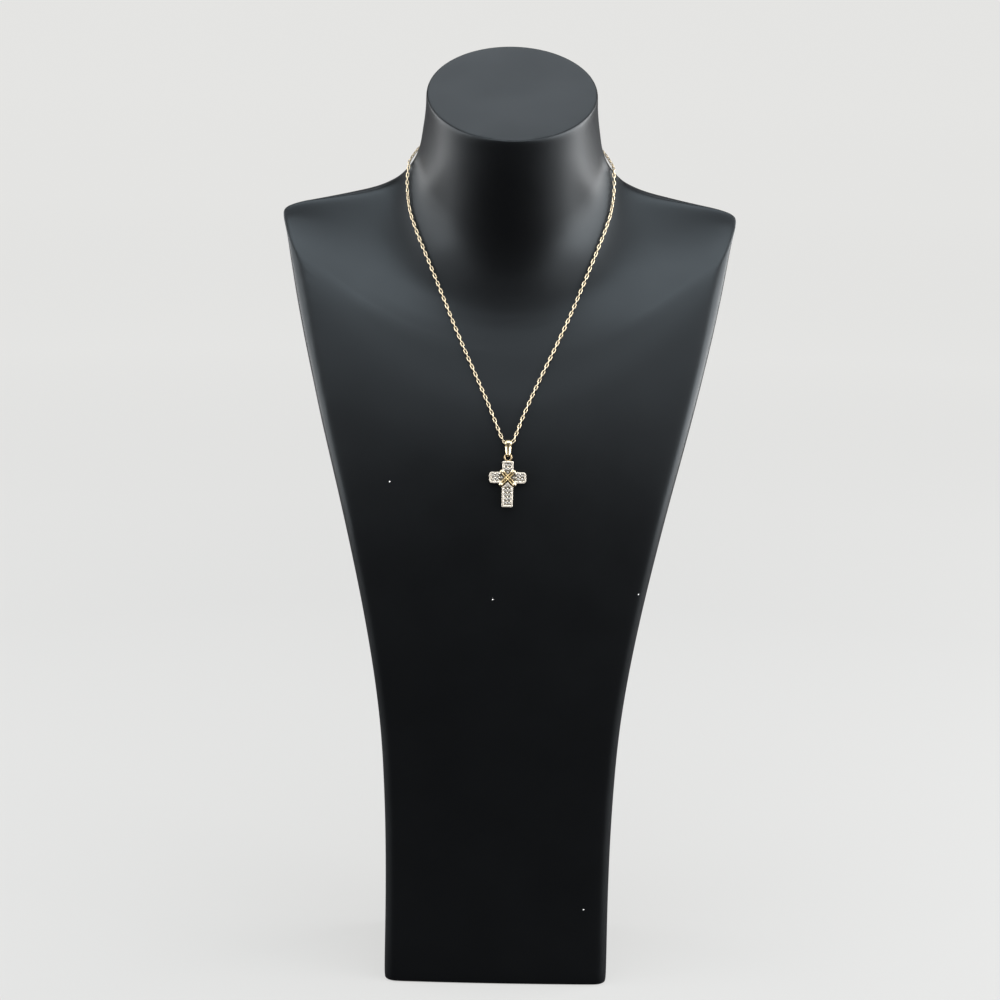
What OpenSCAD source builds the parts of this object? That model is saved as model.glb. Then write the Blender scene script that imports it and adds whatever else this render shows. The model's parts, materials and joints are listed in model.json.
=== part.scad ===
// Cross pendant on its chain, laid round a plain neck bust that stands on its base.
// Millimetres. X runs to the right, the chest faces -Y, +Z is up.
// The origin is the middle of the base, on the surface the bust stands on.

/* [Bust] */
// Height, from the base to the highest point of the slanted neck top
bust_h = 422; // [380:1:470]
// Width across the shoulders
shoulder_w = 202.4; // [180:0.2:225]
// Width of the foot of the column
base_w = 102.4; // [90:0.2:120]
// Width of the neck
neck_w = 76; // [68:0.5:84]
// Depth unit: the base is 0.82 of it deep, and the chest stands out half of it
bust_d = 100; // [90:1:112]
// Radius of the long edges down the sides
edge_r = 5; // [3:0.5:7]
// Radius of the small rounding round the foot
foot_r = 1.6; // [0.8:0.2:3]
// Radius of the small rounding round the neck's rim
rim_r = 1.0; // [0.5:0.1:2]

/* [Chain] */
// Diameter of the rope chain over its links
chain_d = 1.5; // [1.2:0.1:1.8]
// Clear air between the bust and what lies on it
bust_gap = 0.35; // [0.3:0.05:0.6]
// Length of level chain inside the bail
level_run = 4.4; // [4.3:0.1:5]

/* [Clasp] */
// Outer diameter of the clasp's ring
clasp_d = 6.4; // [5.5:0.1:8]
// Thickness of the ring's round bar
clasp_bar = 1.3; // [1:0.1:1.6]
// Outer diameter of the small eye at each side
clasp_eye_d = 2.6; // [2.2:0.1:3.2]
// Wire of those eyes
clasp_eye_wire = 0.6; // [0.5:0.1:0.8]

/* [Bail] */
// Thickness of the bail's metal
bail_t = 0.6; // [0.5:0.05:0.7]
// Clear air round the chain inside the bail
bail_play = 0.35; // [0.3:0.05:0.6]
// Clear air between the ring's wire and the bend of the bail
ring_play = 0.22; // [0.15:0.01:0.4]
// Distance from the chain down to the pendant's ring
bail_l = 4.7; // [4.4:0.05:6]
// Width at the top
bail_top_w = 3.5; // [2.8:0.1:3.8]
// Width low down, where the bend begins
bail_low_w = 2.5; // [1.8:0.1:2.8]
// Width of the bend that passes through the ring
bail_tip_w = 1.2; // [0.9:0.1:1.3]
// Radius of the domed front, seen from above
bail_dome_r = 3.4; // [2.6:0.1:6]

/* [Cross] */
// Height from the middle to the top edge
arm_up = 7.2; // [6.8:0.1:8]
// Height from the middle to the bottom edge
arm_down = 12.9; // [12:0.1:15]
// Reach from the middle to either side
arm_side = 8.05; // [7.6:0.05:9]
// Width of each arm
arm_w = 4.8; // [4.6:0.1:5.4]
// Thickness from the back to the top of the border
cross_t = 1.7; // [1.5:0.1:2.2]
// Width of the bright border round the stones
border_w = 0.8; // [0.6:0.05:0.9]
// Depth of the stone beds below the border
bed_depth = 0.3; // [0.2:0.05:0.5]
// Depth of the slot between the straps and the pointed end of the lower bed
slot_depth = 1; // [0.4:0.1:1]
// Corner radius at the ends of the side arms
side_corner_r = 1.1; // [0.6:0.1:1.6]
// Corner radius at the top and the bottom
end_corner_r = 0.5; // [0.3:0.1:1]
// Distance from the middle down to the tip of the lower arm's pointed border
point_drop = 1.95; // [1.7:0.05:2.2]

/* [Ring] */
// Outer diameter of the ring on top of the cross
ring_d = 3.7; // [3.5:0.1:4.2]
// Wire of the ring
ring_wire = 0.74; // [0.6:0.02:0.8]

/* [Straps] */
// Diameter of each of the two rails of a strap
rail_d = 0.55; // [0.45:0.05:0.65]
// Distance between the two rails of a strap
rail_pitch = 1.1; // [0.9:0.05:1.2]
// How far a strap's upper lug reaches from the middle, sideways and up
strap_reach = 3.3; // [3:0.05:3.4]
// How far a strap's lower lug reaches from the middle, sideways and down
strap_low_reach = 3.6; // [3.3:0.05:3.7]
// Diameter of the round lug at each end of a strap
lug_d = 1.9; // [1.7:0.1:2.1]
// How far a lug stands out in front of the rails
lug_rise = 0.2; // [0.2:0.05:0.4]
// Height of the lower strap's rails above the border
strap_rise = 0.1; // [0.05:0.05:0.3]
// Extra height of the strap that passes over the other
strap_over = 0.2; // [0.1:0.05:0.4]

/* [Stones] */
// Diameter of the paired stones
stone_d = 1.4; // [1.2:0.05:1.45]
// Diameter of the single stone at each inner end
point_stone_d = 1.1; // [0.8:0.05:1.15]
// Distance between rows along an arm
row_pitch = 1.8; // [1.75:0.05:1.9]
// Clear air between a stone and its seat
seat_gap = 0.06; // [0.04:0.01:0.1]
// Diameter of the beads that hold the stones
bead_d = 0.6; // [0.4:0.05:0.65]

/* [Hidden] */
$fn = 48;
tiny = 0.01;

// Bust sections, from the foot to the neck's rim.
// Heights are shares of bust_h, FLARE runs from the narrow width (0) to the shoulders (1),
// depths are shares of half of bust_d, and SQUARE goes from an oval (0) to a box (1).
SIDE_Z = 0;
FLARE = 1;
FRONT_Z = 2;
FRONT_Y = 3;
BACK_Z = 4;
BACK_Y = 5;
EDGE_FRONT = 6;
EDGE_BACK = 7;
SQUARE = 8;
SECTIONS = [
    [0.000, 0.000, 0.000, -0.820, 0.000, 0.820, -0.800, 0.80, 1.00],
    [0.110, -0.005, 0.110, -0.860, 0.110, 0.810, -0.840, 0.78, 1.00],
    [0.200, 0.010, 0.199, -0.900, 0.200, 0.800, -0.880, 0.76, 1.00],
    [0.295, 0.059, 0.293, -0.950, 0.295, 0.790, -0.930, 0.73, 1.00],
    [0.402, 0.190, 0.394, -1.000, 0.402, 0.770, -0.970, 0.68, 1.00],
    [0.521, 0.403, 0.490, -1.018, 0.521, 0.740, -0.940, 0.58, 0.98],
    [0.639, 0.656, 0.568, -0.972, 0.639, 0.710, -0.724, 0.45, 0.95],
    [0.742, 0.860, 0.630, -0.840, 0.742, 0.700, -0.420, 0.30, 0.90],
    [0.812, 0.972, 0.668, -0.725, 0.806, 0.710, -0.200, 0.18, 0.85],
    [0.829, 1.000, 0.688, -0.664, 0.826, 0.720, -0.130, 0.14, 0.82],
    [0.835, 0.950, 0.702, -0.620, 0.836, 0.730, -0.120, 0.14, 0.75],
    [0.8435, 0.670, 0.722, -0.562, 0.850, 0.740, -0.160, 0.22, 0.55],
    [0.851, 0.390, 0.740, -0.525, 0.862, 0.750, -0.220, 0.34, 0.35],
    [0.861, 0.226, 0.757, -0.508, 0.874, 0.760, -0.300, 0.46, 0.20],
    [0.877, 0.115, 0.777, -0.508, 0.890, 0.765, -0.380, 0.58, 0.10],
    [0.893, 0.058, 0.800, -0.545, 0.908, 0.760, -0.460, 0.66, 0.05],
    [0.916, 0.026, 0.836, -0.660, 0.938, 0.745, -0.600, 0.70, 0.00],
    [0.942, 0.004, 0.882, -0.810, 0.972, 0.720, -0.780, 0.72, 0.00],
    [0.957, 0.000, 0.914, -0.900, 1.000, 0.700, -0.900, 0.70, 0.00]
];
// The section at the shoulder tips, where the widths turn from the foot's to the neck's
TIP = 9;
// Rings between two sections, and points in a quarter of a ring: along the front, round
// the edge and along the side
RINGS = 3;
FLAT = 5;
ARC = 4;
SIDE = 3;
QUARTER = FLAT + ARC + SIDE;
AROUND = 4 * QUARTER;
LAST = len(SECTIONS) - 1;

// Clean smooth steps: a section in millimetres, and the same columns as the table
function row_mm(i) =
    let (s = SECTIONS[i], narrow = i <= TIP ? base_w : neck_w, tall = bust_h - rim_r - foot_r)
    [
        foot_r + s[SIDE_Z] * tall,
        narrow / 2 + (shoulder_w - narrow) / 2 * s[FLARE],
        foot_r + s[FRONT_Z] * tall,
        s[FRONT_Y] * bust_d / 2,
        foot_r + s[BACK_Z] * tall,
        s[BACK_Y] * bust_d / 2,
        s[EDGE_FRONT] * bust_d / 2,
        s[EDGE_BACK] * bust_d / 2,
        s[SQUARE]
    ];
ROWS = [for (i = [0:LAST]) row_mm(i)];

// Distance from each section to the next, along the side and the front together
function side_point(r) = [r[SIDE_Z], r[FLARE]];
function front_point(r) = [r[FRONT_Z], r[FRONT_Y]];
STEPS = [
    for (i = [0:LAST - 1])
        norm(side_point(ROWS[i + 1]) - side_point(ROWS[i]))
            + norm(front_point(ROWS[i + 1]) - front_point(ROWS[i]))
];
function slope(i) =
    i == 0 ? (ROWS[1] - ROWS[0]) / STEPS[0]
    : i == LAST ? (ROWS[LAST] - ROWS[LAST - 1]) / STEPS[LAST - 1]
    : ((ROWS[i] - ROWS[i - 1]) / STEPS[i - 1] * STEPS[i]
        + (ROWS[i + 1] - ROWS[i]) / STEPS[i] * STEPS[i - 1]) / (STEPS[i - 1] + STEPS[i]);
SLOPES = [for (i = [0:LAST]) slope(i)];

// The section at any place u between two rows of the table
function section(u) =
    let (i = min(floor(u), LAST - 1), t = u - i, h = STEPS[i])
    (1 + 2 * t) * (1 - t) * (1 - t) * ROWS[i]
        + t * (1 - t) * (1 - t) * h * SLOPES[i]
        + t * t * (3 - 2 * t) * ROWS[i + 1]
        + t * t * (t - 1) * h * SLOPES[i + 1];

// A quarter of a box with round corners, of half width 1 and half depth 1, at step f
function box_quarter(f, rx, ry) =
    f <= FLAT ? [f / FLAT * (1 - rx), 1]
    : f <= FLAT + ARC ?
        let (a = 90 * (f - FLAT) / ARC)
        [1 - rx + rx * sin(a), 1 - ry + ry * cos(a)]
    : [1, (1 - ry) * (QUARTER - f) / SIDE];

// The point of the bust's skin at section u and turn a: 0 is the middle of the chest, then
// to the right, the back at half of AROUND, and to the left. Inset draws it inwards.
function skin(u, a, inset = 0, rise = 0) =
    let (
        r = section(u),
        turn = (a % AROUND + AROUND) % AROUND,
        quarter = floor(turn / QUARTER),
        part = turn - quarter * QUARTER,
        f = quarter % 2 == 1 ? QUARTER - part : part,
        right = quarter < 2 ? 1 : -1,
        ahead = quarter == 0 || quarter == 3,
        edge_half = (r[EDGE_BACK] - r[EDGE_FRONT]) / 2,
        box = box_quarter(f, edge_r / r[FLARE], min(1, edge_r / edge_half)),
        square = max(0, min(1, r[SQUARE])),
        across = (1 - square) * sin(90 * f / QUARTER) + square * box[0],
        along = (1 - square) * cos(90 * f / QUARTER) + square * box[1],
        front = r[FRONT_Y] + (r[EDGE_FRONT] - r[FRONT_Y]) * across * across,
        back = r[BACK_Y] + (r[EDGE_BACK] - r[BACK_Y]) * across * across,
        half = (back - front) / 2 - inset,
        droop = (1 - square) * along + square * (1 - across * across),
        end_z = ahead ? r[FRONT_Z] : r[BACK_Z]
    )
    [
        right * across * (r[FLARE] - inset),
        (front + back) / 2 - (ahead ? 1 : -1) * along * half,
        r[SIDE_Z] + (end_z - r[SIDE_Z]) * droop + rise
    ];

// The direction that points straight out of the skin there
function unit(v) = v / norm(v);
function outward(u, a) =
    let (e = 0.02)
    unit(cross(
        skin(u, a + e) - skin(u, a - e),
        skin(min(u + e, LAST), a) - skin(max(u - e, 0), a)
    ));
function above_skin(u, a, lift) = skin(u, a) + lift * outward(u, a);

// How the pendant lies: it rests on the chest at this section and hangs this far below
// the chain, a little to the right of the middle
REST_SECTION = 5.95;
REST_DROP = 16;
HANG_X = 1.2;
rest_out = outward(REST_SECTION, 0);
lean = atan2(rest_out[2], -rest_out[1]);
hang_up = [0, sin(lean), cos(lean)];
rest_at = above_skin(REST_SECTION, 0, cross_t / 2 + bust_gap + 0.05);
hang_point = [HANG_X, rest_at[1], rest_at[2]] + REST_DROP * hang_up;

// The chain's route: the section of the bust it lies on, and its turn round the bust on
// the right and on the left, from the pendant up to the clasp at the back of the neck.
// Chosen by hand along the line it takes over the chest.
SECTION = 0;
RIGHT_TURN = 1;
LEFT_TURN = 2;
ROUTE = [
    [7.00, 0.41, 0.33],
    [8.50, 1.00, 0.91],
    [10.20, 1.48, 1.37],
    [11.65, 2.92, 2.71],
    [12.87, 4.98, 4.70],
    [13.48, 7.41, 7.05],
    [13.73, 9.78, 9.39],
    [13.98, 11.84, 11.48],
    [14.28, 12.85, 12.55],
    [14.62, 14.00, 13.75],
    [15.05, 16.20, 16.00],
    [15.28, 18.70, 18.60],
    [15.34, 20.90, 20.90]
];
CLASP_SECTION = 15.35;
chain_lift = chain_d / 2 + bust_gap + 0.1;
clasp_lift = clasp_bar / 2 + bust_gap;
clasp_out = outward(CLASP_SECTION, AROUND / 2);
clasp_at = above_skin(CLASP_SECTION, AROUND / 2, clasp_lift);
clasp_tilt = atan2(clasp_out[2], clasp_out[1]);
eye_at = clasp_d / 2 + clasp_eye_d / 2 - clasp_eye_wire * 0.8;
// Where the chain stops, just short of the eye, and its turn round the neck there
chain_stop = eye_at + clasp_eye_d / 2 + 0.3;
end_turn = AROUND / 2 - asin(chain_stop / section(CLASP_SECTION)[FLARE]) * QUARTER / 90;

// A smooth line through chosen points, with two more points between each pair
function smooth(p) = [
    for (i = [0:len(p) - 2], k = [0:2])
        let (
            t = k / 3,
            a = p[max(i - 1, 0)],
            b = p[i],
            c = p[i + 1],
            d = p[min(i + 2, len(p) - 1)]
        )
        b + t / 2 * ((c - a) + t * ((2 * a - 5 * b + 4 * c - d) + t * (3 * (b - c) + d - a))),
    p[len(p) - 1]
];
// One side of the chain: from the bail straight to the chest, then along the skin
function side_line(column, right) =
    let (
        rows = concat([for (r = ROUTE) [r[SECTION], r[column]]], [[CLASP_SECTION, end_turn]]),
        lying = [for (p = smooth(rows)) above_skin(p[0], right * p[1], chain_lift)],
        start = hang_point + [right * level_run / 2, 0, 0]
    )
    concat([for (k = [0:2]) start + k / 3 * (lying[0] - start)], lying);
function reversed(p) = [for (i = [len(p) - 1:-1:0]) p[i]];
chain_line = concat(reversed(side_line(LEFT_TURN, -1)), side_line(RIGHT_TURN, 1));

// The bail's and the ring's own sizes
bail_in_top = chain_d / 2 + bail_play;
ring_r = (ring_d - ring_wire) / 2;
// The ring's wire drops away from the bail's axis by this much at the bend's edge
wire_drop = ring_r - sqrt(ring_r * ring_r - bail_tip_w * bail_tip_w / 4);
bail_in_low = ring_wire / 2 + wire_drop + ring_play;
bail_out_top = bail_in_top + bail_t;
bail_out_low = bail_in_low + bail_t;
ring_z = -bail_l - ring_r;
// The ring is soldered a little way into the top edge
solder = 0.2;
cross_z = ring_z - ring_d / 2 + solder - arm_up;
bed_y = -cross_t / 2 + bed_depth;
// Depth of the stones' girdles, and of the middle of the beads between them
girdle_y = bed_y - 0.05;
bead_y = bed_y - 0.12;
// A stone's parts as shares of its diameter: table, crown, girdle, pavilion and culet
TABLE = 0.58;
CROWN = 0.15;
GIRDLE = 0.06;
PAVILION = 0.36;
CULET = 0.08;
// The straps clear the middle by this much, measured along an arm
strap_half = (rail_pitch + rail_d) / 2;
strap_clear = strap_half * sqrt(2);

// The four arms: turn from the top, reach, number of paired rows, and place of the single
// stone as a distance from the middle
TURN = 0;
REACH = 1;
PAIRS = 2;
POINT_AT = 3;
ARMS = [
    [0, arm_up, 2, strap_clear + 1.05],
    [90, arm_side, 2, strap_clear + 1.4],
    [180, arm_down, 4, point_drop + 1.75],
    [270, arm_side, 2, strap_clear + 1.4]
];
DOWN_ARM = 2;
column_x = (arm_w / 2 - border_w) / 2;
function row_at(arm, row) = arm[REACH] - border_w - row_pitch / 2 - row * row_pitch;
// Every stone: arm, place across it, place along it, and diameter
STONES = [
    for (arm = ARMS)
        each concat(
            [for (row = [0:arm[PAIRS] - 1], side = [-1, 1])
                [arm[TURN], side * column_x, row_at(arm, row), stone_d]],
            [[arm[TURN], 0, arm[POINT_AT], point_stone_d]]
        )
];
STONE_NAMES = [for (i = [0:len(STONES) - 1]) str("stone_", i + 1)];

// Joins rings of points into one closed skin, the first ring at the bottom
module skin_of(rings) {
    n = len(rings[0]);
    count = len(rings);
    polyhedron(
        points = [for (ring = rings) each ring],
        faces = concat(
            [[for (j = [n - 1:-1:0]) n - 1 - j]],
            [for (i = [0:count - 2], j = [0:n - 1])
                [i * n + j, (i + 1) * n + j, (i + 1) * n + (j + 1) % n, i * n + (j + 1) % n]],
            [[for (j = [0:n - 1]) (count - 1) * n + n - 1 - j]]
        ),
        convexity = 6
    );
}

module bust() {
    function ring(u, inset, rise) = [for (a = [0:AROUND - 1]) skin(u, a, inset, rise)];
    foot = [ring(0, foot_r, -foot_r), ring(0, foot_r * 0.3, -foot_r * 0.7)];
    body = [for (k = [0:LAST * RINGS]) ring(k / RINGS, 0, 0)];
    rim = [ring(LAST, rim_r * 0.3, rim_r * 0.7), ring(LAST, rim_r, rim_r)];
    color([0.09, 0.09, 0.10])
        skin_of(concat(foot, body, rim));
}

// A round bar along a line of points, with eight sides
module bar_along(p, d) {
    count = len(p);
    function ahead(i) = unit(p[min(i + 1, count - 1)] - p[max(i - 1, 0)]);
    function ring(i) =
        let (t = ahead(i), s = unit(cross(t, [0, 0, 1])), v = cross(t, s))
        [for (k = [0:7]) p[i] + d / 2 * (cos(45 * k) * s + sin(45 * k) * v)];
    skin_of([for (i = [0:count - 1]) ring(i)]);
}

module chain() {
    color([0.86, 0.73, 0.45])
        bar_along(chain_line, chain_d);
}

// A ring of round wire lying in the X-Y plane
module wire_ring(outer, wire) {
    rotate_extrude()
        translate([(outer - wire) / 2, 0])
            circle(d = wire, $fn = 32);
}

module clasp() {
    color([0.86, 0.73, 0.45])
        translate(clasp_at)
            rotate([clasp_tilt - 90, 0, 0]) {
                wire_ring(clasp_d, clasp_bar);
                for (side = [-1, 1])
                    translate([side * eye_at, 0, 0])
                        wire_ring(clasp_eye_d, clasp_eye_wire);
            }
}

// The pendant's own frame: the chain's middle is the origin, Z points up the pendant
module on_pendant() {
    translate(hang_point)
        rotate([-lean, 0, 0])
            children();
}

// The outline of a band round two circles, one above the other, with straight sides
module tear(top_r, low_r, apart) {
    start = asin((top_r - low_r) / apart);
    half_top = 90 - start;
    half_low = 90 + start;
    steps = 20;
    polygon([
        for (k = [0:steps])
            top_r * [sin(half_top - 2 * half_top * k / steps), cos(half_top - 2 * half_top * k / steps)],
        for (k = [0:steps])
            let (turn = 2 * half_low * k / steps - half_low)
            [0, -apart] + low_r * [sin(turn), -cos(turn)]
    ]);
}

// Lays a side view, drawn as depth and height, along X
module across_x(width) {
    rotate([90, 0, 90])
        linear_extrude(width, center = true)
            children();
}

// Lays a front view, drawn as width and height, along Y
module across_y(depth) {
    rotate([90, 0, 0])
        linear_extrude(depth, center = true)
            children();
}

module bail() {
    lean_in = asin((bail_out_top - bail_out_low) / bail_l);
    bend_z = -bail_l + 0.35;
    tip_z = -bail_l - 0.45;
    color([0.88, 0.74, 0.44])
        on_pendant()
            difference() {
                intersection() {
                    across_x(bail_top_w + 1)
                        tear(bail_out_top, bail_out_low, bail_l);
                    across_y(4 * bail_out_top)
                        polygon([
                            [-bail_top_w / 2, bail_out_top + 1],
                            [bail_top_w / 2, bail_out_top + 1],
                            [bail_top_w / 2, bail_in_top / 2],
                            [bail_low_w / 2, bend_z],
                            [bail_tip_w / 2, tip_z],
                            [bail_tip_w / 2, -bail_l - bail_out_low - 1],
                            [-bail_tip_w / 2, -bail_l - bail_out_low - 1],
                            [-bail_tip_w / 2, tip_z],
                            [-bail_low_w / 2, bend_z],
                            [-bail_top_w / 2, bail_in_top / 2]
                        ]);
                    rotate([lean_in, 0, 0])
                        translate([0, bail_dome_r - bail_out_top, -bail_l / 2])
                            cylinder(r = bail_dome_r, h = 3 * bail_l, center = true, $fn = 64);
                }
                across_x(bail_top_w + 2)
                    tear(bail_in_top, bail_in_low, bail_l);
            }
}

// The outline of one arm from the middle outwards, drawn pointing up
module arm_outline(reach, corner) {
    translate([-arm_w / 2, 0])
        square([arm_w, reach - corner]);
    translate([-arm_w / 2 + corner, 0])
        square([arm_w - 2 * corner, reach]);
    for (side = [-1, 1])
        translate([side * (arm_w / 2 - corner), reach - corner])
            circle(corner);
}

// Turns a front-view drawing to an arm's direction: an arm's own up is its outward way
module on_arm(arm) {
    translate([0, 0, cross_z])
        rotate([0, arm[TURN], 0])
            children();
}

// The bed that the stones of an arm lie in, as a front view: pointed towards the middle
module bed_outline(arm) {
    half = arm_w / 2 - border_w;
    outer = arm[REACH] - border_w;
    tip = arm[TURN] == 180 ? point_drop + border_w * sqrt(2) : strap_clear * 0.6;
    polygon([[0, tip], [half, tip + half], [half, outer], [-half, outer], [-half, tip + half]]);
}

// The slot between the straps and the lower arm's pointed border, as a front view
module slot_outline() {
    half = arm_w / 2 + tiny;
    tip = strap_clear * 0.6;
    polygon([
        [0, tip],
        [half, tip + half],
        [half, point_drop + half],
        [0, point_drop],
        [-half, point_drop + half],
        [-half, tip + half]
    ]);
}

// A round brilliant, its table towards the front: crown, girdle, and pavilion cut short
module stone_shape(d) {
    girdle = d * GIRDLE;
    crown = d * CROWN + girdle / 2;
    pavilion = d * PAVILION + girdle / 2;
    rotate([90, 0, 0])
        hull() {
            cylinder(d = d * TABLE, h = crown, $fn = 8);
            cylinder(d = d, h = girdle, center = true, $fn = 8);
            translate([0, 0, -pavilion])
                cylinder(d = d * CULET, h = pavilion, $fn = 8);
        }
}

// The seat of a stone: its pavilion and girdle, a little larger, open to the front
module seat(s) {
    d = s[3] + 2 * seat_gap;
    pavilion = s[3] * PAVILION + seat_gap;
    girdle = s[3] * GIRDLE;
    rotate([0, s[0], 0])
        translate([s[1], 0, s[2]])
            rotate([90, 0, 0]) {
                translate([0, 0, -girdle / 2 - pavilion])
                    cylinder(d1 = d * CULET, d2 = d, h = pavilion + tiny);
                translate([0, 0, -girdle / 2])
                    cylinder(d = d, h = 1);
            }
}

// The beads inwards of each row, at both edges of a bed, and at its middle where the
// single stone leaves room
module beads(arm) {
    for (row = [0:arm[PAIRS] - 1], place = [-1, 0, 1]) {
        at = row_at(arm, row) - row_pitch / 2;
        room = at - bead_d / 2 - arm[POINT_AT] - point_stone_d / 2 - seat_gap;
        if (place != 0 || room > 0)
            translate([place * (arm_w / 2 - border_w), bead_y, at])
                post(bead_d / 2, bed_depth);
    }
}

// A post with a round head towards the front, its head's middle at the origin
module post(r, deep) {
    sphere(r = r, $fn = 32);
    rotate([-90, 0, 0])
        cylinder(r = r, h = deep, $fn = 32);
}

// One strap over the middle: two rails on a thin web, and a lug over each inner corner
module strap(turn, rise) {
    rail_y = -cross_t / 2 - rise;
    lug_r = lug_d / 2;
    lug_y = rail_y - rail_d / 2 - lug_rise + lug_r;
    upper = strap_reach * sqrt(2) - lug_r;
    lower = strap_low_reach * sqrt(2) - lug_r;
    translate([0, 0, cross_z])
        rotate([0, turn, 0]) {
            for (side = [-1, 1])
                translate([side * rail_pitch / 2, rail_y, -lower])
                    cylinder(d = rail_d, h = lower + upper, $fn = 32);
            translate([-rail_pitch / 2, rail_y + rail_d / 4, -lower])
                cube([rail_pitch, rise + bed_depth, lower + upper]);
            for (end = [-lower, upper])
                translate([0, lug_y, end])
                    post(lug_r, cross_t / 2 - 0.3 - lug_y);
        }
}

// The flat cross before its beds are cut
module blank() {
    for (arm = ARMS)
        on_arm(arm)
            across_y(cross_t)
                arm_outline(arm[REACH], arm[TURN] % 180 == 0 ? end_corner_r : side_corner_r);
}

module cross_plate() {
    difference() {
        blank();
        for (arm = ARMS)
            on_arm(arm)
                translate([0, -cross_t / 2, 0])
                    across_y(2 * bed_depth)
                        bed_outline(arm);
        on_arm(ARMS[DOWN_ARM])
            translate([0, -cross_t / 2, 0])
                across_y(2 * slot_depth)
                    slot_outline();
        translate([0, girdle_y, cross_z])
            for (s = STONES)
                seat(s);
    }
}

module cross() {
    color([0.87, 0.80, 0.66])
        on_pendant() {
            cross_plate();
            for (arm = ARMS)
                on_arm(arm)
                    beads(arm);
            strap(-45, strap_rise);
            strap(45, strap_rise + strap_over);
            translate([0, 0, ring_z])
                rotate([90, 0, 0])
                    wire_ring(ring_d, ring_wire);
            translate([-ring_wire, -ring_wire / 2, cross_z + arm_up - tiny])
                cube([2 * ring_wire, ring_wire, ring_wire / 2]);
        }
}

module stone(s) {
    color([0.93, 0.94, 0.96])
        on_pendant()
            translate([0, girdle_y, cross_z])
                rotate([0, s[0], 0])
                    translate([s[1], 0, s[2]])
                        stone_shape(s[3]);
}

bust();
chain();
clasp();
bail();
cross();
for (i = [0:len(STONES) - 1])
    stone(STONES[i]);
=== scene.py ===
# %% [markdown]
# A gold cross with clear stones hangs from a fine chain, and the chain lies round a plain
# dark neck bust. The imported model is loaded first as a frame that never moves: it says where
# every piece is, how large it is and what swings. Everything below dresses that frame, so
# most of its sizes are read off the frame and not typed again.

# %% Load the frame
import json
import math

import bmesh
import bpy
import numpy as np
from mathutils import Matrix, Vector


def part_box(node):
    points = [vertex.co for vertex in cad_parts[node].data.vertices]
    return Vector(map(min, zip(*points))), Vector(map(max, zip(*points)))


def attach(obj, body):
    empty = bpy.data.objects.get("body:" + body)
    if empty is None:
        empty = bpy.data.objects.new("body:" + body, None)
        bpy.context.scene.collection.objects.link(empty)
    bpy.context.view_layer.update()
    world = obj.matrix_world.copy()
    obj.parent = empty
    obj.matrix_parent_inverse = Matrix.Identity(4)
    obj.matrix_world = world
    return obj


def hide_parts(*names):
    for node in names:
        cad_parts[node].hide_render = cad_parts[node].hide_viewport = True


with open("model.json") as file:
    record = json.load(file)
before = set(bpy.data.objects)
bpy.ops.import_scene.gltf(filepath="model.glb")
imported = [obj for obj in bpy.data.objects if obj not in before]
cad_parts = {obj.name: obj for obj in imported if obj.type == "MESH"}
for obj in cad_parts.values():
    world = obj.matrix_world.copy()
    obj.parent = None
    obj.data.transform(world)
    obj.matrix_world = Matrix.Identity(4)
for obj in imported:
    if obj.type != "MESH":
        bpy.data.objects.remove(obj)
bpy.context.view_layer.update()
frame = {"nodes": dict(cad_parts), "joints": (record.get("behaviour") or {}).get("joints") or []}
nodes = frame["nodes"]

# %% [markdown]
# The pendant is small and hangs at a slant, which makes it awkward to model in place. Its
# own frame solves that: the middle of the chain inside the bail is the origin, Z points up
# the pendant and -Y is its front. The two joints give it, because the bail turns about the
# chain and the cross about the foot of the bail. In this frame the pieces are modelled in
# millimetres, and one matrix takes them back to their place in metres.

# %% The pendant's own frame
MM = 0.001
joint_at = {joint["name"]: Vector(joint["pos_m"]) for joint in frame["joints"]}
chain_middle = joint_at["bail_swing"]
bail_foot = joint_at["cross_swing"]
up = (chain_middle - bail_foot).normalized()
right = Vector((1, 0, 0))
back = up.cross(right)
turned = Matrix((right, back, up)).transposed().to_4x4()
from_pendant = Matrix.Translation(chain_middle) @ turned @ Matrix.Scale(MM, 4)
to_pendant = from_pendant.inverted()
bail_length = (chain_middle - bail_foot).length / MM
print(f"pendant hangs from {chain_middle}, bail {bail_length:.2f} mm long")


# %% [markdown]
# An operator acts on all that is selected, and the loaded nodes start out selected. These
# helpers deselect everything, make one piece active, and pick points of it by their place,
# which is what the mouse does by hand.

# %% Helpers for selecting and moving
def select_only(piece):
    """Deselects everything, then selects one piece and makes it active."""
    bpy.ops.object.select_all(action="DESELECT")
    piece.select_set(True)
    bpy.context.view_layer.objects.active = piece


def edit(piece):
    """Opens a piece in edit mode with nothing in it selected."""
    select_only(piece)
    bpy.ops.object.mode_set(mode="EDIT")
    bpy.ops.mesh.select_mode(type="VERT")
    bpy.ops.mesh.select_all(action="DESELECT")


def close():
    """Closes edit mode, which writes the changes to the mesh."""
    bpy.ops.object.mode_set(mode="OBJECT")


def pick(piece, wanted):
    """In edit mode, selects the points whose place is wanted, and nothing else."""
    bpy.ops.mesh.select_all(action="DESELECT")
    form = bmesh.from_edit_mesh(piece.data)
    for point in form.verts:
        point.select_set(wanted(point.co))
    form.select_flush(True)
    bmesh.update_edit_mesh(piece.data)


def apply_modifier(piece, kind, **settings):
    """Adds a modifier, sets it and applies it."""
    select_only(piece)
    modifier = piece.modifiers.new(kind.title(), kind)
    for key, value in settings.items():
        setattr(modifier, key, value)
    bpy.ops.object.modifier_apply(modifier=modifier.name)


def triangles(piece):
    """How many triangles a piece's faces come to."""
    return sum(len(face.vertices) - 2 for face in piece.data.polygons)
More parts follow.
